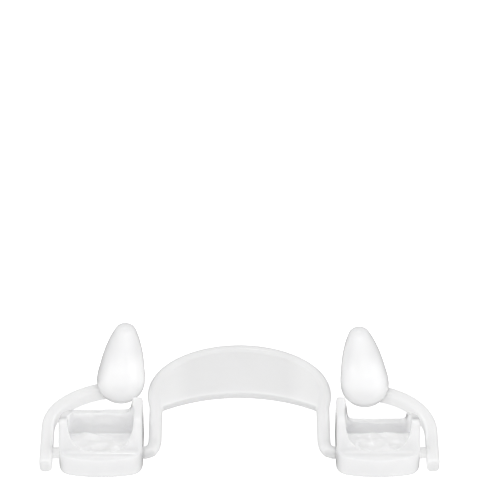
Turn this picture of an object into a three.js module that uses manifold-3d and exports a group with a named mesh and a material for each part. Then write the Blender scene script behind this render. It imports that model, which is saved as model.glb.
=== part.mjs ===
// A pair of stage fangs that the tongue flips up and down: a tongue plate on two legs, an axle through a
// molar tray on each side, and an outer arm that carries the fang. It lies with its trays open upwards.
// Millimetres. +X is the wearer's side to side, +Y runs from the trays to the plate's front edge, +Z is up.
import * as THREE from "three";
import { mergeVertices } from "three/addons/utils/BufferGeometryUtils.js";
import Module from "manifold-3d";

const wasm = await Module();
wasm.setup();

// Molar trays
const TRAY_CENTRE = 22.35; // from the middle of the mouth to the middle of a row of molars
const TRAY_WIDTH = 13.5;
const TRAY_LENGTH = 10.5;
const TRAY_HEIGHT = 8.5; // of the inner side wall, which ends in a horn, and of the outer wall's peak
const TRAY_OUTER_FAR_HEIGHT = 4.9; // to which the outer side wall falls at its far end
const TRAY_NEAR_HEIGHT = 4.5; // of the low end wall by the axle
const TRAY_SIDE_WALL = 1.4;
const TRAY_NEAR_WALL = 1.6;
const TRAY_FAR_WALL = 1.2;
const TRAY_FLOOR = 1.7;
const TRAY_BOW = 0.9; // how far the near wall swells out between its corners
const TRAY_CORNER = 1.9; // how far the near corners reach, seen from above
const FAR_CORNER_ACROSS = 3.2; // the outer far corner is drawn in this far beside the arm's bend
const FAR_CORNER_ALONG = 5.0; // and starts this far from the far end
const TRAY_EDGE = 0.5; // rounding of the rims
const RAMP_START = 1.5; // from the near wall's face, where the side walls start to rise
const RAMP_END = 4.9; // and where they reach their full height
const HOLLOW_CORNER = 3.2; // how far the hollow's near corners reach, seen from above
const HOLLOW_ROUND = 1.3; // rounding between the hollow's walls and floor
const POCKET_LENGTH = 2.2; // of the hollow's deep end, between the axle's shelf and the far wall
const NOTCH_DRAFT = 0.6; // how much narrower the far wall's dip is at its foot than at its mouth
const NOTCH_CORNER = 1.2;

// Axle, and the rod that forms the legs and the plate's rim
const AXLE_DIAMETER = 1.9;
const AXLE_HEIGHT = 2.1; // above the table
const AXLE_SETBACK = 3.8; // from the tray's near face
const AXLE_COVER = 0.95; // thickness over the axle of the shelf that carries it across the hollow
const AXLE_SEAT = 1.0; // how deep the axle's end sits in the arm
const ROD_DIAMETER = 2.2;
const LEG_GAP = 0.8; // between a leg and the tray beside it
const LEG_BEND = 2.9; // how far ahead of the axle the leg starts to turn outwards

// Tongue plate
const PLATE_REACH = 24.8; // from the axle to the front edge
const PLATE_SWEEP = 11.6; // half axis of the elliptical front edge, front to back
const PLATE_SHOULDER = 0.4; // how far the plate stands out past its legs
const PLATE_DEPTH = 11.8; // from the front edge to the inner edge, in the middle
const PLATE_HOLLOW = 3.7; // how far the inner edge curves forward between the legs
const PLATE_THICKNESS = 1.5;
const PLATE_EDGE = 0.45;

// Outer arms
const ARM_GAP = 1.2; // between the tray and the arm
const ARM_THICKNESS = 1.8;
const ARM_HEIGHT = 2.4;
const ARM_EDGE = 0.5;
const ARM_TAIL = 3.2; // behind the axle
const ARM_TURN = 68; // degrees that the bend turns through before the arm enters the fang
const ARM_TIP = 1.4; // straight stretch between the bend and the tip
const ARM_SET_IN = 2.0; // from the fang's own axis to the arm's tip
const ARM_OFFSET = 0.2; // the arm meets the fang this far behind the fang's axis

// Fangs
const FANG_HEIGHT = 16.5;
const FANG_WIDTH = 7.9;
const FANG_DEPTH = 6.9;
const FANG_GAP = 4.1; // from the tray's far wall to the fang

// Clearances
const AXLE_CLEARANCE = 0.1; // all round the axle, in the trays and in the arms
const END_CLEARANCE = 0.3; // between the leg's end and the tray's side
const FANG_CLEARANCE = 0.15;

// The sides differ a little: fangInset is how far a fang's axis stands inside the tray's middle, fangAhead
// moves it forward, lean turns its tip inwards in degrees, farWall is the height of the tray's far wall, and
// armStraight is how far ahead of the axle the arm runs before it bends.
const SIDES = [
  { name: "left", mirror: -1, fangInset: 2.4, fangAhead: 0.45, lean: 5.5, farWall: 5.5, armStraight: 5.4 },
  { name: "right", mirror: 1, fangInset: 1.25, fangAhead: -0.4, lean: 6.5, farWall: 3.4, armStraight: 4.2 },
];

// Sections of a fang from foot to tip, as shares of its height and of half its width.
const FANG_SECTIONS = [
  { up: 0, out: 0 },
  { up: 0.008, out: 0.31 },
  { up: 0.045, out: 0.6 },
  { up: 0.115, out: 0.845 },
  { up: 0.195, out: 0.98 },
  { up: 0.29, out: 1 },
  { up: 0.43, out: 0.93 },
  { up: 0.585, out: 0.835 },
  { up: 0.745, out: 0.69 },
  { up: 0.885, out: 0.51 },
  { up: 0.97, out: 0.34 },
  { up: 1, out: 0 },
];

// Mesh fineness
const ROUND_SIDES = 24;
const FANG_SIDES = 32;
const FANG_RINGS = 26;
const ARC_STEPS = 7;
const EDGE_STEPS = 3;
const ROD_STEPS = 66;
const BEND_STEPS = 14;
const MERGE_DISTANCE = 1e-4;
const LEG_SHARE = 1.6; // legs of a rounded corner, for each unit of the edge rounding that runs round it
const LEAST_STRAIGHT = 0.2; // straight stretch that is left between two round corners
const PAST = 1; // a cutter runs this far past the face that it cuts

// Places that follow from the sizes above, measured from the axle's line in the middle of the mouth
const trayInner = TRAY_CENTRE - TRAY_WIDTH / 2;
const trayOuter = TRAY_CENTRE + TRAY_WIDTH / 2;
const axleRadius = AXLE_DIAMETER / 2;
const rodRadius = ROD_DIAMETER / 2;
const legX = trayInner - LEG_GAP - rodRadius;
const armX = trayOuter + ARM_GAP + ARM_THICKNESS / 2;
const plateHalfWidth = legX + rodRadius + PLATE_SHOULDER;
const trayFar = TRAY_LENGTH - AXLE_SETBACK;
const floor = -AXLE_HEIGHT; // the table

// Finishes
const framePlastic = { color: 0xe6e6e7, roughness: 0.28, metalness: 0 };
const trayPlastic = { color: 0xe9e9eb, roughness: 0.22, metalness: 0 };
const toothPlastic = { color: 0xfafaf8, roughness: 0.12, metalness: 0 };

// A closed geometry as a solid that can be joined and cut.
function solidOf(geometry) {
  const bare = geometry.clone();
  bare.deleteAttribute("normal");
  bare.deleteAttribute("uv");
  const merged = mergeVertices(bare, MERGE_DISTANCE);
  return new wasm.Manifold(
    new wasm.Mesh({
      numProp: 3,
      vertProperties: merged.attributes.position.array,
      triVerts: new Uint32Array(merged.index.array),
    }),
  );
}

// A solid as a geometry that three.js can draw.
function geometryOf(solid) {
  const { vertProperties, triVerts } = solid.getMesh();
  const geometry = new THREE.BufferGeometry();
  geometry.setAttribute("position", new THREE.BufferAttribute(vertProperties, 3));
  geometry.setIndex(new THREE.BufferAttribute(triVerts, 1));
  geometry.computeVertexNormals();
  return geometry;
}

// A flat outline raised from low to high, its top and bottom edges rounded: across in plan, up in height.
function raised(shape, low, high, across, up = across) {
  const geometry = new THREE.ExtrudeGeometry(shape, {
    depth: high - low - 2 * up,
    bevelThickness: up,
    bevelSize: across,
    bevelOffset: -across,
    bevelSegments: EDGE_STEPS,
    curveSegments: ARC_STEPS,
  });
  return geometry.translate(0, 0, low + up);
}

// What was raised from a profile drawn front to back, laid along X: the profile's x is Y and its y is Z.
function alongX(geometry) {
  const turn = new THREE.Matrix4().makeBasis(
    new THREE.Vector3(0, 1, 0),
    new THREE.Vector3(0, 0, 1),
    new THREE.Vector3(1, 0, 0),
  );
  return geometry.applyMatrix4(turn);
}

// A round bar along X.
function bar(radius, from, to) {
  const geometry = new THREE.CylinderGeometry(radius, radius, to - from, ROUND_SIDES);
  return geometry.rotateZ(Math.PI / 2).translate((from + to) / 2, 0, 0);
}

// The tray seen from above, its outer side on the right: swelling and round-cornered at the near end.
function trayOutline(halfWidth, near, far, bow, corner, outerCorner, innerCorner) {
  const shape = new THREE.Shape();
  const turnX = halfWidth - corner;
  const turnY = near + bow * (turnX / halfWidth) ** 2;
  const cornerY = turnY + (2 * (turnY - near) * corner) / turnX;
  const along = Math.min(outerCorner.along, far - cornerY - corner - LEAST_STRAIGHT);
  shape.moveTo(-turnX, turnY);
  shape.quadraticCurveTo(0, 2 * near - turnY, turnX, turnY);
  shape.quadraticCurveTo(halfWidth, cornerY, halfWidth, cornerY + corner);
  shape.lineTo(halfWidth, far - along);
  shape.quadraticCurveTo(halfWidth, far, halfWidth - outerCorner.across, far);
  shape.lineTo(-halfWidth + innerCorner, far);
  shape.quadraticCurveTo(-halfWidth, far, -halfWidth, far - innerCorner);
  shape.lineTo(-halfWidth, cornerY + corner);
  shape.quadraticCurveTo(-halfWidth, cornerY, -turnX, turnY);
  return shape;
}

// A side wall of the tray seen from the side: the low near wall, the ramp up to the full height, and the rim
// from there to the height that the wall has at its far end.
function traySideProfile(farHeight) {
  const near = -AXLE_SETBACK;
  const rampStart = near + RAMP_START;
  const rampEnd = near + RAMP_END;
  const top = floor + TRAY_HEIGHT;
  const nearTop = floor + TRAY_NEAR_HEIGHT;
  const corner = LEG_SHARE * TRAY_EDGE;
  const ease = Math.min(TRAY_EDGE, RAMP_START - corner - LEAST_STRAIGHT);
  const slope = (TRAY_HEIGHT - TRAY_NEAR_HEIGHT) / (RAMP_END - RAMP_START);
  const shape = new THREE.Shape();
  shape.moveTo(near, floor);
  shape.lineTo(trayFar, floor);
  const farTop = floor + farHeight;
  const fall = (TRAY_HEIGHT - farHeight) / (trayFar - rampEnd);
  shape.lineTo(trayFar, farTop - corner);
  shape.quadraticCurveTo(trayFar, farTop, trayFar - corner, farTop + fall * corner);
  shape.lineTo(rampEnd + corner, top - fall * corner);
  shape.quadraticCurveTo(rampEnd, top, rampEnd - TRAY_EDGE, top - slope * TRAY_EDGE);
  shape.lineTo(rampStart + TRAY_EDGE, nearTop + slope * TRAY_EDGE);
  shape.quadraticCurveTo(rampStart, nearTop, rampStart - ease, nearTop);
  shape.lineTo(near + corner, nearTop);
  shape.quadraticCurveTo(near, nearTop, near, nearTop - corner);
  return shape;
}

// The dip in the far wall beside the horn, seen from the front: wide at its mouth, round at its foot.
function notch(farWall) {
  const mouth = TRAY_WIDTH / 2 - TRAY_SIDE_WALL;
  const foot = mouth - NOTCH_DRAFT;
  const low = floor + farWall;
  const high = floor + TRAY_HEIGHT + PAST;
  const shape = new THREE.Shape();
  shape.moveTo(-foot + NOTCH_CORNER, low);
  shape.lineTo(foot - NOTCH_CORNER, low);
  shape.quadraticCurveTo(foot, low, foot, low + NOTCH_CORNER);
  shape.lineTo(mouth, high);
  shape.lineTo(-mouth, high);
  shape.lineTo(-foot, low + NOTCH_CORNER);
  shape.quadraticCurveTo(-foot, low, -foot + NOTCH_CORNER, low);
  const depth = TRAY_FAR_WALL + HOLLOW_ROUND + PAST;
  const geometry = new THREE.ExtrudeGeometry(shape, {
    depth,
    bevelEnabled: false,
    curveSegments: ARC_STEPS,
  });
  return geometry.rotateX(Math.PI / 2).translate(0, trayFar + PAST, 0);
}

// The shelf that carries the axle across the hollow: it runs from the near wall to the deep pocket.
function axleShelf() {
  const radius = axleRadius + AXLE_COVER;
  const far = Math.max(trayFar - TRAY_FAR_WALL - POCKET_LENGTH, radius);
  const round = Math.min(HOLLOW_ROUND, radius);
  const near = -AXLE_SETBACK + TRAY_NEAR_WALL / 2;
  const foot = floor + TRAY_FLOOR / 2;
  const shape = new THREE.Shape();
  shape.moveTo(near, foot);
  shape.lineTo(far, foot);
  shape.absarc(far - round, radius - round, round, 0, Math.PI / 2, false);
  shape.lineTo(near, radius);
  const halfWidth = (TRAY_WIDTH - TRAY_SIDE_WALL) / 2;
  const geometry = new THREE.ExtrudeGeometry(shape, {
    depth: 2 * halfWidth,
    bevelEnabled: false,
    curveSegments: ARC_STEPS,
  });
  return alongX(geometry).translate(-halfWidth, 0, 0);
}

// A molar tray about its own middle on the axle, as the right-hand one.
function trayGeometry(farWall) {
  const halfWidth = TRAY_WIDTH / 2;
  const near = -AXLE_SETBACK;
  const top = floor + TRAY_HEIGHT;
  const outline = trayOutline(
    halfWidth,
    near,
    trayFar,
    TRAY_BOW,
    TRAY_CORNER,
    { across: FAR_CORNER_ACROSS, along: FAR_CORNER_ALONG },
    LEG_SHARE * TRAY_EDGE,
  );
  const block = solidOf(raised(outline, floor, top + PAST, TRAY_EDGE));
  const outerProfile = traySideProfile(Math.max(TRAY_OUTER_FAR_HEIGHT, farWall));
  const outerWall = solidOf(alongX(raised(outerProfile, -halfWidth, halfWidth, TRAY_EDGE)));
  const horn = solidOf(alongX(raised(traySideProfile(TRAY_HEIGHT), -halfWidth, 0, TRAY_EDGE)));
  const body = block.intersect(outerWall.add(horn));
  const leastCorner = LEG_SHARE * HOLLOW_ROUND;
  const hollowOutline = trayOutline(
    halfWidth - TRAY_SIDE_WALL,
    near + TRAY_NEAR_WALL,
    trayFar - TRAY_FAR_WALL,
    TRAY_BOW,
    HOLLOW_CORNER,
    {
      across: Math.max(FAR_CORNER_ACROSS - TRAY_FAR_WALL, leastCorner),
      along: Math.max(FAR_CORNER_ALONG - TRAY_FAR_WALL, leastCorner),
    },
    leastCorner,
  );
  const hollow = solidOf(
    raised(hollowOutline, floor + TRAY_FLOOR, top + HOLLOW_ROUND + PAST, HOLLOW_ROUND),
  );
  const shelf = solidOf(axleShelf()).intersect(body);
  const bore = solidOf(bar(axleRadius + AXLE_CLEARANCE, -halfWidth - PAST, halfWidth + PAST));
  return geometryOf(
    body.subtract(hollow).subtract(solidOf(notch(farWall))).add(shelf).subtract(bore),
  );
}

// The outer arm about its own seat on the axle, grown all round by spare. It runs straight ahead, then bends
// towards x, y, where it ends in the fang.
function armGeometry({ straight, x: tipX, y: tipY }, spare = 0) {
  const half = ARM_THICKNESS / 2 + spare;
  const turn = THREE.MathUtils.degToRad(ARM_TURN);
  const alongTip = new THREE.Vector2(-Math.sin(turn), Math.cos(turn));
  const bendEnd = new THREE.Vector2(tipX - armX, tipY).addScaledVector(alongTip, -ARM_TIP);
  const halfX = -bendEnd.x / (1 - Math.cos(turn));
  const halfY = (bendEnd.y - straight) / Math.sin(turn);
  const tail = -ARM_TAIL - spare;
  const corner = ARM_EDGE + LEAST_STRAIGHT / 2;
  // The middle line of the bend, then of the straight tip, with the sideways direction at each point.
  const line = [];
  for (let i = 0; i <= BEND_STEPS; i++) {
    const angle = (turn * i) / BEND_STEPS;
    const at = new THREE.Vector2(-halfX * (1 - Math.cos(angle)), straight + halfY * Math.sin(angle));
    const side = new THREE.Vector2(Math.cos(angle) * halfY, Math.sin(angle) * halfX).normalize();
    line.push({ at, side });
  }
  const { at, side } = line[BEND_STEPS];
  const ahead = new THREE.Vector2(-side.y, side.x);
  line.push({ at: at.clone().addScaledVector(ahead, ARM_TIP + spare), side });
  const outer = line.map((row) => row.at.clone().addScaledVector(row.side, half));
  const inner = line.map((row) => row.at.clone().addScaledVector(row.side, -half)).reverse();
  const shape = new THREE.Shape();
  shape.moveTo(half, tail + corner);
  [...outer, ...inner].forEach(({ x, y }) => shape.lineTo(x, y));
  shape.absarc(-half + corner, tail + corner, corner, Math.PI, 1.5 * Math.PI, false);
  shape.absarc(half - corner, tail + corner, corner, 1.5 * Math.PI, 2 * Math.PI, false);
  const halfHeight = ARM_HEIGHT / 2 + spare;
  return raised(shape, -halfHeight, halfHeight, ARM_EDGE);
}

// The arm with the blind seat for the axle's end in its inner face.
function seatedArmGeometry(course) {
  const inner = -ARM_THICKNESS / 2;
  const seat = bar(axleRadius + AXLE_CLEARANCE, inner - PAST, inner + AXLE_SEAT + AXLE_CLEARANCE);
  return geometryOf(solidOf(armGeometry(course)).subtract(solidOf(seat)));
}

// A fang about the middle of its foot, with its round sections from the table and flattened front to back.
function fangGeometry() {
  const sections = FANG_SECTIONS.map(
    ({ up, out }) => new THREE.Vector2((out * FANG_WIDTH) / 2, up * FANG_HEIGHT),
  );
  const profile = new THREE.SplineCurve(sections).getPoints(FANG_RINGS);
  profile.forEach((point) => (point.x = Math.max(point.x, 0)));
  profile[0].x = 0;
  profile[FANG_RINGS].x = 0;
  const geometry = new THREE.LatheGeometry(profile, FANG_SIDES);
  return geometry.rotateX(Math.PI / 2).scale(1, FANG_DEPTH / FANG_WIDTH, 1);
}

// The rod that runs from one tray round the plate's edge to the other tray.
function rodPath() {
  const end = trayInner - END_CLEARANCE;
  const centre = PLATE_REACH - PLATE_SWEEP;
  const halfX = plateHalfWidth - rodRadius;
  const halfY = PLATE_SWEEP - rodRadius;
  const start = -Math.acos(Math.min(legX / halfX, 1));
  const edge = new THREE.EllipseCurve(0, centre, halfX, halfY, start, Math.PI - start, false);
  const front = edge.getPoints(ROD_STEPS).map(({ x, y }) => new THREE.Vector3(x, y, 0));
  const path = new THREE.CurvePath();
  const point = (x, y) => new THREE.Vector3(x, y, 0);
  path.add(new THREE.QuadraticBezierCurve3(point(end, 0), point(legX, 0), point(legX, LEG_BEND)));
  path.add(new THREE.LineCurve3(point(legX, LEG_BEND), front[0]));
  path.add(new THREE.CatmullRomCurve3(front));
  path.add(new THREE.LineCurve3(front[front.length - 1], point(-legX, LEG_BEND)));
  path.add(new THREE.QuadraticBezierCurve3(point(-legX, LEG_BEND), point(-legX, 0), point(-end, 0)));
  return { path, edge };
}

// The tongue plate, its rim, legs and both axle ends in one moulding.
function bowGeometry() {
  const { path, edge } = rodPath();
  const section = new THREE.Shape().absarc(0, 0, rodRadius, 0, 2 * Math.PI, false);
  const rod = new THREE.ExtrudeGeometry(section, {
    steps: ROD_STEPS,
    extrudePath: path,
    curveSegments: ROUND_SIDES / 4,
  });
  const outline = edge.getPoints(ROD_STEPS);
  const innerMiddle = PLATE_REACH - PLATE_DEPTH;
  const innerEnd = Math.min(innerMiddle - PLATE_HOLLOW, outline[0].y - 2 * PLATE_EDGE);
  const hollow = innerMiddle - innerEnd;
  const innerRadius = (legX ** 2 + hollow ** 2) / (2 * hollow);
  const sweep = Math.asin(legX / innerRadius);
  const web = new THREE.Shape(outline);
  web.lineTo(-legX, innerEnd);
  web.absarc(
    0,
    innerMiddle - innerRadius,
    innerRadius,
    Math.PI / 2 + sweep,
    Math.PI / 2 - sweep,
    true,
  );
  let bow = solidOf(rod).add(
    solidOf(raised(web, -PLATE_THICKNESS / 2, PLATE_THICKNESS / 2, PLATE_EDGE)),
  );
  const from = trayInner - 2 * END_CLEARANCE;
  const to = armX - ARM_THICKNESS / 2 + AXLE_SEAT;
  bow = bow.add(solidOf(bar(axleRadius, from, to)));
  bow = bow.add(solidOf(bar(axleRadius, -to, -from)));
  return geometryOf(bow);
}

function named(name, geometry, finish) {
  const mesh = new THREE.Mesh(geometry, new THREE.MeshStandardMaterial(finish));
  mesh.name = name;
  return mesh;
}

// A tray, arm and fang, built as the right-hand ones and mirrored for the left.
function sideGroup({ name, mirror, fangInset, fangAhead, lean, farWall, armStraight }) {
  const group = new THREE.Group();
  const fangX = TRAY_CENTRE - fangInset;
  const fangY = trayFar + FANG_GAP + FANG_DEPTH / 2 + fangAhead;
  const course = { straight: armStraight, x: fangX + ARM_SET_IN, y: fangY - ARM_OFFSET };

  const tray = named(`${name}_tray`, trayGeometry(farWall), trayPlastic);
  tray.position.x = TRAY_CENTRE;

  const arm = named(`${name}_arm`, seatedArmGeometry(course), framePlastic);
  arm.position.x = armX;
  arm.updateMatrix();

  const fang = named(`${name}_fang`, fangGeometry(), toothPlastic);
  fang.position.set(fangX, fangY, 0);
  fang.rotation.y = -THREE.MathUtils.degToRad(lean);
  const stood = new THREE.Box3().setFromObject(fang, true);
  fang.position.z = floor - stood.min.z;
  fang.updateMatrix();
  const toFang = fang.matrix.clone().invert().multiply(arm.matrix);
  const socket = solidOf(armGeometry(course, FANG_CLEARANCE).applyMatrix4(toFang));
  fang.geometry = geometryOf(solidOf(fang.geometry).subtract(socket));

  group.add(tray, arm, fang);
  group.scale.x = mirror;
  return group;
}

const denture = new THREE.Group();
denture.add(named("tongue_bow", bowGeometry(), framePlastic));
SIDES.forEach((side) => denture.add(sideGroup(side)));
// The origin is on the table, under the middle of the whole piece.
denture.position.set(0, (AXLE_SETBACK - PLATE_REACH) / 2, AXLE_HEIGHT);

const part = new THREE.Group();
part.add(denture);
export default part;
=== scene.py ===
import math

import bmesh
import bpy
import numpy as np
from mathutils import Matrix, Vector, noise


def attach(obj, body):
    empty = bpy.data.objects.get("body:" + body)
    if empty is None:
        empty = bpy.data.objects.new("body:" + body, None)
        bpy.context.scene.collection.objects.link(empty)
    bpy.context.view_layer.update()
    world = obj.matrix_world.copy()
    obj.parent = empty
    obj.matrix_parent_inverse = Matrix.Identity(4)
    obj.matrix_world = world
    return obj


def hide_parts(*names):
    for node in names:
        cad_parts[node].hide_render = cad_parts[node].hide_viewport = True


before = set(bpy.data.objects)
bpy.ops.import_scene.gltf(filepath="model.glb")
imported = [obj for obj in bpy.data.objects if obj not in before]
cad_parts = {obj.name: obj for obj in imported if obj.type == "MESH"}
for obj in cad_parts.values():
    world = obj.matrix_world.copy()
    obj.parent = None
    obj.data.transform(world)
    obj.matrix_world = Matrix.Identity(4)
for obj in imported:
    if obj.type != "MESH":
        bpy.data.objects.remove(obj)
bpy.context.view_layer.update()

MM = 0.001

# Sizes in millimetres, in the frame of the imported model
AXLE_Y = -10.5
AXLE_Z = 2.1
STUB_X = 26  # from here outwards the legs have become the axle's ends
PLATE_HALF = 11.5  # half the width of the plate's flat
SEAT_X = 30.9  # middle of the blind seat for the axle's end in the outer arm
SEAT_RADIUS = 1.05
SEAT_DEPTH = 1.1
SEAT_OVERLAP = 0.1  # of the plug that closes the seat with the wall round it
ARM_SWELL = 0.12  # how much fuller the moulded arm is than its solid
TRAY_CENTRE = 22.35
HOLLOW_HALF = 5.35  # from the tray's middle to the inside of its side walls
HOLLOW_NEAR = -12.7
HOLLOW_FAR = -5.0
SHELF_TOP = 4.0  # of the shelf that carries the axle across the hollow
FANG_HEIGHT = 16.5
FANG_WIDTH = 7.9
FANG_DEPTH = 6.9
FANGS = {  # where each fang's foot stands, and how far its tip leans inwards
    "left": {"x": -19.95, "y": 4.2, "lean": 5.5},
    "right": {"x": 21.1, "y": 3.35, "lean": -6.5},
}
FANG_OUTLINE = [  # share of the height, share of half the width
    (0, 0), (0.008, 0.31), (0.045, 0.6), (0.115, 0.845), (0.195, 0.98), (0.29, 1),
    (0.43, 0.93), (0.585, 0.835), (0.745, 0.69), (0.885, 0.51), (0.97, 0.34), (1, 0),
]
SKINS = {  # size of the faces of each moulding's skin, and the rounds of smoothing that round its edges
    "bow": (0.16, 14),
    "tray": (0.14, 9),
    "arm": (0.12, 4),
}

# The grain that all the plastics share, in millimetres
CLOUD_MM = 5  # patches of slightly different tone
FLOW_MM = 0.9  # marks where the plastic flowed in the mould
FLOW_HEIGHT_MM = 0.002

# The lumps in the trays' hollows, in millimetres, with a seed for their places
LONG_LUMPS = {"height": 0.5, "sizes": (2.6, 1.4, 1.6), "left": 3.7, "right": 21.4}
SHORT_LUMPS = {"height": 0.2, "sizes": (1.1, 0.8, 0.9), "left": 8.1, "right": 8.1}

# Painted light on the plastic: a share above 0 paints a glow on a place, and one below 0 paints it greyer as
# shade
PAINTED_GLOW_STRENGTH = 0.2  # of a share of 1
PAINTED_SHADE_TONE = "#c0c0c0"  # of a share of -1
PAINTED_LIGHT_SHARES = {
    "legs": 0.2, "stubs": 0.6, "flat": -0.18, "near_edge": -0.6,
    "cup": 0.75, "shelf": -0.35, "left_far_wall": -0.12, "right_far_wall": -0.45,
    "outer_corner": 1.3, "rim": 0.3, "near_slope": -0.15,
    "arm": 0.1, "arm_inside": 0.4, "arm_end": -0.5,
    "belly": 0.75,
}


# Colours and nodes

def linear(code):
    """The linear RGBA of an sRGB hex colour."""
    parts = [int(code[i:i + 2], 16) / 255 for i in (1, 3, 5)]
    return [c / 12.92 if c <= 0.04045 else ((c + 0.055) / 1.055) ** 2.4 for c in parts] + [1]


def add(tree, kind, settings=None, **inputs):
    """Adds a node; settings are its own properties, and an input is a value or another node's socket.

    An input is named for its socket, with _ for a space, or it is _0, _1 and so on for the socket's place.
    """
    node = tree.nodes.new(kind)
    for name, value in (settings or {}).items():
        setattr(node, name, value)
    for name, value in inputs.items():
        key = int(name[1:]) if name[1:].isdigit() else name.replace("_", " ")
        socket = node.inputs[key]
        if isinstance(value, bpy.types.NodeSocket):
            tree.links.new(value, socket)
        else:
            socket.default_value = value
    return node


def new_material(name):
    material = bpy.data.materials.new(name)
    material.use_nodes = True
    tree = material.node_tree
    tree.nodes.clear()
    return material, tree


def milky_plastic(name, colours, glow, depth_mm, ior, gloss, roughness, ripple_mm, ripple_height_mm):
    """Injection-moulded plastic that light goes a millimetre or two into.

    A point attribute of painted light paints a glow on it where its share is above 0 and grey shade where it
    is below 0.
    The mould leaves a glossy skin with slow ripples and fine flow marks.
    """
    material, tree = new_material(name)
    coords = add(tree, "ShaderNodeTexCoord").outputs["Object"]
    cloud = add(tree, "ShaderNodeTexNoise", Vector=coords, Scale=1 / (CLOUD_MM * MM),
                Detail=3.0, Roughness=0.5)
    tint = add(tree, "ShaderNodeMix", {"data_type": "RGBA"}, _0=cloud.outputs["Fac"],
               _6=linear(colours[0]), _7=linear(colours[1]))
    painted_share = add(tree, "ShaderNodeAttribute", {"attribute_name": "painted_light_share"}).outputs["Fac"]
    painted_shade = add(tree, "ShaderNodeMath", {"operation": "MULTIPLY", "use_clamp": True}, _0=painted_share, _1=-1.0)
    tone = add(tree, "ShaderNodeMix", {"data_type": "RGBA"}, _0=painted_shade.outputs[0],
               _6=tint.outputs[2], _7=linear(PAINTED_SHADE_TONE))
    painted_glow = add(tree, "ShaderNodeMath", {"operation": "MULTIPLY", "use_clamp": True},
                  _0=painted_share, _1=PAINTED_GLOW_STRENGTH)

    ripple = add(tree, "ShaderNodeTexNoise", Vector=coords, Scale=1 / (ripple_mm * MM),
                 Detail=2.0, Roughness=0.45)
    flow = add(tree, "ShaderNodeTexNoise", Vector=coords, Scale=1 / (FLOW_MM * MM), Detail=1.0)
    slow = add(tree, "ShaderNodeBump", Height=ripple.outputs["Fac"],
               Strength=1.0, Distance=ripple_height_mm * MM)
    fine = add(tree, "ShaderNodeBump", Height=flow.outputs["Fac"], Normal=slow.outputs["Normal"],
               Strength=1.0, Distance=FLOW_HEIGHT_MM * MM)
    sheen = add(tree, "ShaderNodeMapRange", Value=flow.outputs["Fac"],
                To_Min=roughness[0], To_Max=roughness[1])

    skin = add(tree, "ShaderNodeBsdfPrincipled", Base_Color=tone.outputs[2], IOR=ior,
               Roughness=sheen.outputs["Result"], Normal=fine.outputs["Normal"],
               Emission_Strength=painted_glow.outputs[0])
    skin.inputs["Emission Color"].default_value = linear("#ffffff")
    skin.inputs["Coat Weight"].default_value = gloss
    skin.inputs["Coat Roughness"].default_value = 0.1
    skin.inputs["Subsurface Weight"].default_value = glow
    skin.inputs["Subsurface Radius"].default_value = (1.0, 1.0, 1.03)
    skin.inputs["Subsurface Scale"].default_value = depth_mm * MM
    add(tree, "ShaderNodeOutputMaterial", Surface=skin.outputs["BSDF"])
    return material


# Meshes

def new_object(name, mesh):
    piece = bpy.data.objects.new(name, mesh)
    bpy.context.scene.collection.objects.link(piece)
    return piece


def in_millimetres(node):
    """A copy of a CAD node's mesh, its loose triangles joined, in millimetres."""
    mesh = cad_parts[node].data.copy()
    work = bmesh.new()
    work.from_mesh(mesh)
    bmesh.ops.transform(work, matrix=Matrix.Scale(1 / MM, 4), verts=work.verts)
    bmesh.ops.remove_doubles(work, verts=work.verts, dist=0.002)
    work.to_mesh(mesh)
    work.free()
    return mesh


def applied(piece):
    """The piece with its modifiers applied to its mesh."""
    graph = bpy.context.evaluated_depsgraph_get()
    mesh = bpy.data.meshes.new_from_object(piece.evaluated_get(graph))
    piece.modifiers.clear()
    piece.data = mesh
    return piece


def remould(piece, voxel, rounds):
    """Turns a piece into one even skin of small faces and rounds every edge, as a polished mould does."""
    skin = piece.modifiers.new("skin", "REMESH")
    skin.mode = "VOXEL"
    skin.voxel_size = voxel
    skin.use_smooth_shade = True
    relax = piece.modifiers.new("relax", "SMOOTH")
    relax.factor = 0.5
    relax.iterations = rounds
    return applied(piece)


def arrays(mesh):
    """Points and normals of a mesh as arrays."""
    points = np.zeros(len(mesh.vertices) * 3, np.float32)
    normals = np.zeros(len(mesh.vertices) * 3, np.float32)
    mesh.vertices.foreach_get("co", points)
    mesh.vertices.foreach_get("normal", normals)
    return points.reshape(-1, 3).astype(float), normals.reshape(-1, 3).astype(float)


def put(mesh, points):
    """Moves a mesh's points to the given places."""
    mesh.vertices.foreach_set("co", points.astype(np.float32).ravel())
    mesh.update()


def paint_light(piece, shares):
    """Stores each point's share of painted glow (up to 1) or painted grey shade (down to -1)."""
    layer = piece.data.attributes.new("painted_light_share", "FLOAT", "POINT")
    layer.data.foreach_set("value", np.asarray(shares, np.float32))


def finish_piece(piece, name, nodes, body, material):
    """Scales a piece to metres, names it, ties it to its body, and hides the CAD nodes it stands for."""
    piece.name = piece.data.name = name
    piece.data.transform(Matrix.Scale(MM, 4))
    for face in piece.data.polygons:
        face.use_smooth = True
    piece.data.materials.clear()
    piece.data.materials.append(material)
    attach(piece, body)
    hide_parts(*nodes)


def ease(value, low, high):
    """A soft step: 0 up to low, 1 from high on, and smooth between them."""
    share = np.clip((value - low) / (high - low), 0, 1)
    return share * share * (3 - 2 * share)


def lumps(points, sizes, seed):
    """Slow bumps of about one unit at each point, as long in each direction as sizes says in millimetres."""
    places = [Vector((x / sizes[0] + seed, y / sizes[1], z / sizes[2])) for x, y, z in points]
    return np.array([noise.noise(place) for place in places])


# Materials

# Pale grey against white paper, with a soft shine and light that goes a little into the milky plastic; its
# legs and axle ends are painted with a glow, and its flat and near edges are painted a little greyer as
# shade.
bow_plastic = milky_plastic(
    "glossy_milky_styrene", ("#f0f0f0", "#f6f6f6"), glow=0.9, depth_mm=2.5, ior=1.49,
    gloss=0.25, roughness=(0.3, 0.4), ripple_mm=3.0, ripple_height_mm=0.03)
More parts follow.
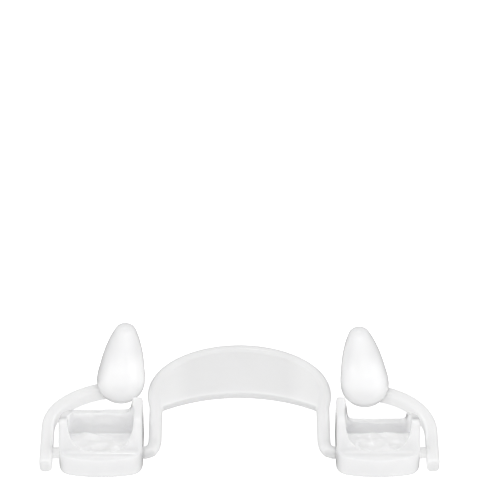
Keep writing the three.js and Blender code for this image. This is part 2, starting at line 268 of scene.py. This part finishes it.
# The same plastic in a thicker moulding: its ripples and lumps break the shine up, and light going into its
# walls and a painted glow keep the hollow pale.
tray_plastic = milky_plastic(
    "glossy_rippled_milky_styrene", ("#e7e7e8", "#f0f0f0"), glow=1.0, depth_mm=2.5, ior=1.49,
    gloss=0.8, roughness=(0.3, 0.4), ripple_mm=2.0, ripple_height_mm=0.05)
# Opaque and polished, the whitest of the three: a broad bright belly, lifted by a painted glow, that falls
# off to a thin grey outline.
fang_plastic = milky_plastic(
    "polished_white_acrylic", ("#f4f4f4", "#f8f8f9"), glow=0.3, depth_mm=1.0, ior=1.75,
    gloss=0.0, roughness=(0.16, 0.2), ripple_mm=4.0, ripple_height_mm=0.01)


# The bow: tongue plate, rim, legs and axle ends

bow = remould(new_object("bow", in_millimetres("tongue_bow")), *SKINS["bow"])
points, normals = arrays(bow.data)
# Painted light: the legs and the axle ends are painted with a glow, and the plate's flat and near edge are
# painted greyer as shade.
stubs = ease(np.abs(points[:, 0]), STUB_X, STUB_X + 1)
legs = ease(-points[:, 1], -1, 5) * ease(points[:, 1], AXLE_Y + 1, AXLE_Y + 3)
flat = ease(PLATE_HALF - np.abs(points[:, 0]), 0, 4) * ease(normals[:, 2], 0.5, 1)
near_edge = (1 - stubs) * ease(-normals[:, 1], 0.4, 0.9)
paint_light(bow, PAINTED_LIGHT_SHARES["legs"] * legs + PAINTED_LIGHT_SHARES["stubs"] * stubs + PAINTED_LIGHT_SHARES["flat"] * flat
           + PAINTED_LIGHT_SHARES["near_edge"] * near_edge)
finish_piece(bow, "tongue_plate_and_legs", ["tongue_bow"], "bow", bow_plastic)


# Trays, arms and fangs

def fang_tree():
    """Geometry Nodes for a tear-drop body: rings of a grid set on the outline, from foot to tip."""
    tree = bpy.data.node_groups.new("tear_drop", "GeometryNodeTree")
    face = tree.interface
    for name, kind, value in [
        ("Height", "NodeSocketFloat", FANG_HEIGHT), ("Width", "NodeSocketFloat", FANG_WIDTH),
        ("Depth", "NodeSocketFloat", FANG_DEPTH), ("Sides", "NodeSocketInt", 128),
        ("Rings", "NodeSocketInt", 160), ("Material", "NodeSocketMaterial", None),
    ]:
        socket = face.new_socket(name, in_out="INPUT", socket_type=kind)
        if value is not None:
            socket.default_value = value
    face.new_socket("Geometry", in_out="OUTPUT", socket_type="NodeSocketGeometry")
    sizes = tree.nodes.new("NodeGroupInput").outputs

    # A grid one unit wide and long: round the body along X, and from foot to tip along Y
    grid = add(tree, "GeometryNodeMeshGrid", Size_X=1.0, Size_Y=1.0,
               Vertices_X=sizes["Sides"], Vertices_Y=sizes["Rings"])
    place = add(tree, "ShaderNodeSeparateXYZ", Vector=add(tree, "GeometryNodeInputPosition").outputs[0])
    angle = add(tree, "ShaderNodeMath", {"operation": "MULTIPLY"}, _0=place.outputs["X"], _1=2 * math.pi)
    cosine = add(tree, "ShaderNodeMath", {"operation": "COSINE"}, _0=angle.outputs[0])
    sine = add(tree, "ShaderNodeMath", {"operation": "SINE"}, _0=angle.outputs[0])
    along = add(tree, "ShaderNodeMath", {"operation": "ADD"}, _0=place.outputs["Y"], _1=0.5)

    curves = []
    for column in (0, 1):  # the height of each ring, then its width
        node = add(tree, "ShaderNodeFloatCurve", Value=along.outputs[0])
        stops = node.mapping.curves[0].points
        last = len(FANG_OUTLINE) - 1
        stops[0].location = (0, FANG_OUTLINE[0][column])
        stops[1].location = (1, FANG_OUTLINE[last][column])
        for i, row in enumerate(FANG_OUTLINE[1:last], 1):
            stops.new(i / last, row[column])
        node.mapping.update()
        curves.append(node.outputs["Value"])

    half_share = add(tree, "ShaderNodeMath", {"operation": "MULTIPLY"}, _0=curves[1], _1=0.5)
    circle = add(tree, "ShaderNodeCombineXYZ", X=cosine.outputs[0], Y=sine.outputs[0])
    ring = add(tree, "ShaderNodeVectorMath", {"operation": "SCALE"},
               _0=circle.outputs[0], Scale=half_share.outputs[0])
    lift = add(tree, "ShaderNodeCombineXYZ", Z=curves[0])
    stood = add(tree, "ShaderNodeVectorMath", {"operation": "ADD"}, _0=ring.outputs[0], _1=lift.outputs[0])
    size = add(tree, "ShaderNodeCombineXYZ", X=sizes["Width"], Y=sizes["Depth"], Z=sizes["Height"])
    spot = add(tree, "ShaderNodeVectorMath", {"operation": "MULTIPLY"},
               _0=stood.outputs[0], _1=size.outputs[0])

    shaped = add(tree, "GeometryNodeSetPosition", Geometry=grid.outputs["Mesh"], Position=spot.outputs[0])
    closed = add(tree, "GeometryNodeMergeByDistance", Geometry=shaped.outputs[0], Distance=0.004)
    real = add(tree, "GeometryNodeRealizeInstances", Geometry=closed.outputs[0])
    painted = add(tree, "GeometryNodeSetMaterial", Geometry=real.outputs[0], Material=sizes["Material"])
    add(tree, "NodeGroupOutput", Geometry=painted.outputs[0])
    return tree


def fang(side):
    """One fang, stood on the table with its tip leaning inwards."""
    piece = new_object("fang", bpy.data.meshes.new("fang"))
    nodes = piece.modifiers.new("tear_drop", "NODES")
    nodes.node_group = tear_drop
    for item in tear_drop.interface.items_tree:
        if item.name == "Material":
            nodes[item.identifier] = fang_plastic
    applied(piece)
    foot = FANGS[side]
    lean = math.radians(foot["lean"])
    piece.data.transform(Matrix.Rotation(lean, 4, "Y"))
    points, _ = arrays(piece.data)
    points += (foot["x"], foot["y"], -points[:, 2].min())
    put(piece.data, points)

    # A painted glow brightens the belly, the near side between the foot and the tip, turned a little to the
    # right.
    aside = points[:, 0] - foot["x"] - points[:, 2] * math.tan(lean)
    front = ease(0.9 * (foot["y"] - points[:, 1]) + 0.1 * aside, 0.3, 2.6)
    belly = front * ease(points[:, 2], 1.5, 7) * ease(13.5 - points[:, 2], 0, 5)
    paint_light(piece, PAINTED_LIGHT_SHARES["belly"] * belly)

    work = bmesh.new()
    work.from_mesh(piece.data)
    bmesh.ops.recalc_face_normals(work, faces=work.faces)
    work.to_mesh(piece.data)
    work.free()
    finish_piece(piece, f"{side}_fang_tooth", [f"{side}_fang"], "bow", fang_plastic)


def tray(side, mirror):
    """One molar tray: lumps raised in its hollow, and painted light, a glow in the hollow and grey shade on
    the near slope.
    """
    piece = remould(new_object("tray", in_millimetres(f"{side}_tray")), *SKINS["tray"])
    points, normals = arrays(piece.data)
    x = points[:, 0] * mirror - TRAY_CENTRE
    y = points[:, 1]
    z = points[:, 2]
    near = -normals[:, 1]
    up = normals[:, 2]

    # Lumps lie on the shelf and on the far wall, and fade out at the side walls.
    inside = ease(HOLLOW_HALF + 0.3 - np.abs(x), 0, 1.2) * ease(HOLLOW_FAR + 0.5 - y, 0, 0.6)
    shelf = ease(z, SHELF_TOP - 0.5, SHELF_TOP - 0.1) * ease(up, 0.3, 0.8)
    shelf *= ease(y, HOLLOW_NEAR + 0.2, HOLLOW_NEAR + 1.4)
    far_wall = ease(near, 0.3, 0.8) * ease(z, 2, 3) * ease(y, HOLLOW_FAR - 1, HOLLOW_FAR)
    waves = LONG_LUMPS["height"] * lumps(points, LONG_LUMPS["sizes"], LONG_LUMPS[side])
    waves += SHORT_LUMPS["height"] * lumps(points, SHORT_LUMPS["sizes"], SHORT_LUMPS[side])
    height = inside * waves * (0.9 * shelf + 0.7 * far_wall)
    points += normals * height[:, None]
    put(piece.data, points)

    # A painted glow lights the cup, most of all at its near end, and its outer corner and the rims, and
    # painted grey shade darkens the slope of the near wall.
    cup = ease(HOLLOW_HALF + 0.4 - np.abs(x), 0, 0.8) * ease(y, HOLLOW_NEAR - 0.6, HOLLOW_NEAR + 0.4)
    cup *= ease(HOLLOW_FAR + 0.4 - y, 0, 0.5) * ease(z, 1.2, 1.8)
    corner = ease(x, HOLLOW_HALF - 0.6, HOLLOW_HALF + 0.2) * ease(y, HOLLOW_FAR - 4, HOLLOW_FAR - 2)
    slope = ease(near, 0.4, 0.7) * ease(up, 0.2, 0.5) * ease(HOLLOW_FAR - 2.5 - y, 0, 1)
    rim = ease(up, 0.5, 0.9) * ease(z, 5, 7)
    shares = PAINTED_LIGHT_SHARES["cup"] + PAINTED_LIGHT_SHARES["shelf"] * ease(y, HOLLOW_FAR - 6, HOLLOW_FAR - 3)
    shares += PAINTED_LIGHT_SHARES[f"{side}_far_wall"] * ease(y, HOLLOW_FAR - 2.4, HOLLOW_FAR - 1.2)
    painted_glow = np.maximum(cup * (1 - slope) * shares, PAINTED_LIGHT_SHARES["outer_corner"] * corner)
    painted_glow = np.maximum(painted_glow, PAINTED_LIGHT_SHARES["rim"] * rim)
    paint_light(piece, painted_glow + PAINTED_LIGHT_SHARES["near_slope"] * slope)
    finish_piece(piece, f"{side}_molar_tray", [f"{side}_tray"], f"{side}_tray", tray_plastic)


def arm(side, mirror):
    """One outer arm, closed round the axle's end as the moulding is, and a touch fuller than its solid."""
    mesh = in_millimetres(f"{side}_arm")
    radius = SEAT_RADIUS + SEAT_OVERLAP
    work = bmesh.new()
    work.from_mesh(mesh)
    bmesh.ops.create_cone(
        work, cap_ends=True, segments=48, radius1=radius, radius2=radius, depth=SEAT_DEPTH,
        matrix=Matrix.Translation((mirror * SEAT_X, AXLE_Y, AXLE_Z)) @ Matrix.Rotation(math.pi / 2, 4, "Y"))
    work.to_mesh(mesh)
    work.free()
    piece = remould(new_object("arm", mesh), *SKINS["arm"])
    points, normals = arrays(piece.data)
    put(piece.data, points + ARM_SWELL * normals)
    # Painted light: the arm glows a little, more on its inner side where the tray shades it, and its near end
    # is painted greyer as shade.
    inner = ease(-mirror * normals[:, 0], 0, 1)
    end = ease(-normals[:, 1], 0.4, 0.9) * ease(points[:, 1].min() + 1.5 - points[:, 1], 0, 1)
    paint_light(piece, PAINTED_LIGHT_SHARES["arm"] + PAINTED_LIGHT_SHARES["arm_inside"] * inner + PAINTED_LIGHT_SHARES["arm_end"] * end)
    finish_piece(piece, f"{side}_outer_arm", [f"{side}_arm"], "bow", bow_plastic)


tear_drop = fang_tree()
for side, mirror in (("left", -1), ("right", 1)):
    tray(side, mirror)
    arm(side, mirror)
    fang(side)


# Table, light and camera, in metres and watts

TABLE_HALF = 1.5
TABLE_CORNERS = [(-1, -1), (1, -1), (1, 1), (-1, 1)]
FRONT_LIGHT = (0.03, -0.7, 0.7)  # the way that the wash of light mostly comes from
WASH = (0.63, 1.03)  # its strength from behind and from the front
MIRROR_LIGHT = (0.1, -0.9, -0.42)  # the middle of the bright patch that the gloss mirrors
MIRROR_STRENGTH = 1.5
MIRROR_FALL = [  # from the patch's far side to its middle, and how much of its strength is there
    (0.2, 0.0), (0.35, 0.08), (0.5, 0.2), (0.6, 0.32), (0.75, 0.55), (0.85, 0.72), (0.95, 0.93),
]


def paper(name, code, strength):
    """White paper, lifted by a glow of its own to the tone of an evenly lit sweep."""
    material, tree = new_material(name)
    paint = add(tree, "ShaderNodeBsdfDiffuse", Color=linear(code))
    glow = add(tree, "ShaderNodeEmission", Color=linear(code), Strength=strength)
    both = add(tree, "ShaderNodeAddShader", _0=paint.outputs[0], _1=glow.outputs[0])
    add(tree, "ShaderNodeOutputMaterial", Surface=both.outputs[0])
    return material


# The light that falls on the plastic passes through the paper, so the wash reaches it from below too.
table_mesh = bpy.data.meshes.new("table")
table_mesh.from_pydata([(x * TABLE_HALF, y * TABLE_HALF, 0) for x, y in TABLE_CORNERS], [], [(0, 1, 2, 3)])
table = new_object("table", table_mesh)
table.data.materials.append(paper("white_sweep_paper", "#e0e0e0", 0.95))
table.visible_glossy = False
table.visible_diffuse = False
table.visible_shadow = False


def softbox(name, place, target, size, power):
    """A rectangular lamp turned to its target."""
    light = bpy.data.lights.new(name, "AREA")
    light.shape = "RECTANGLE"
    light.size, light.size_y = size
    light.energy = power
    lamp = new_object(name, light)
    lamp.location = place
    lamp.rotation_euler = (Vector(target) - Vector(place)).to_track_quat("-Z", "Y").to_euler()


softbox("front_softbox", (0.1, -0.44, 0.16), (0, 0, 0.004), (0.24, 0.20), 0.10)
softbox("top_softbox", (-0.03, 0.12, 0.48), (0, 0, 0), (0.03, 0.03), 0.08)

# The room: an even wash lights the plastic, and its gloss mirrors a broad patch low in front instead.
world = bpy.data.worlds.new("studio")
world.use_nodes = True
sky = world.node_tree
sky.nodes.clear()
ray = add(sky, "ShaderNodeTexCoord").outputs["Generated"]
front = add(sky, "ShaderNodeVectorMath", {"operation": "DOT_PRODUCT"}, _0=ray, _1=FRONT_LIGHT)
wash = add(sky, "ShaderNodeMapRange", Value=front.outputs["Value"],
           From_Min=-1.0, From_Max=1.0, To_Min=WASH[0], To_Max=WASH[1])
low = add(sky, "ShaderNodeVectorMath", {"operation": "DOT_PRODUCT"}, _0=ray, _1=MIRROR_LIGHT)
share = add(sky, "ShaderNodeMapRange", Value=low.outputs["Value"], From_Min=-1.0, From_Max=1.0)
seen = add(sky, "ShaderNodeFloatCurve", Value=share.outputs["Result"])
levels = seen.mapping.curves[0].points
levels[0].location = (0, 0.0)
levels[1].location = (1, 1.0)
for where, level in MIRROR_FALL:
    levels.new(where, level)
seen.mapping.update()
mirrored = add(sky, "ShaderNodeMath", {"operation": "MULTIPLY"},
               _0=seen.outputs["Value"], _1=MIRROR_STRENGTH)
glossy = add(sky, "ShaderNodeLightPath").outputs["Is Glossy Ray"]
lift = add(sky, "ShaderNodeMix", {"data_type": "FLOAT"},
           _0=glossy, _2=wash.outputs["Result"], _3=mirrored.outputs[0])
air = add(sky, "ShaderNodeBackground", Color=linear("#ffffff"), Strength=lift.outputs[0])
add(sky, "ShaderNodeOutputWorld", Surface=air.outputs[0])
bpy.context.scene.world = world
bpy.context.scene.view_settings.view_transform = "Standard"

# The photograph's camera: it looks at the denture from 45 degrees above, and the denture lies low in its
# frame.
FRAME_PX = 480
SENSOR_MM = 36
LENS_MM = 220.3
DISTANCE = 0.48
ELEVATION = math.radians(45)
DROP_PX = 180.3  # how far below the frame's middle the denture's middle lies
LOOK_AT = Vector((0.00009, -0.004, 0.003))
camera_data = bpy.data.cameras.new("camera")
camera_data.sensor_width = SENSOR_MM
camera_data.lens = LENS_MM
camera_data.clip_start = 0.01
camera_data.clip_end = 10
camera = new_object("camera", camera_data)
camera.location = LOOK_AT + DISTANCE * Vector((0, -math.cos(ELEVATION), math.sin(ELEVATION)))
tilt = math.atan(DROP_PX / FRAME_PX * SENSOR_MM / LENS_MM)
camera.rotation_euler = (math.pi / 2 - ELEVATION + tilt, 0, 0)
bpy.context.scene.camera = camera
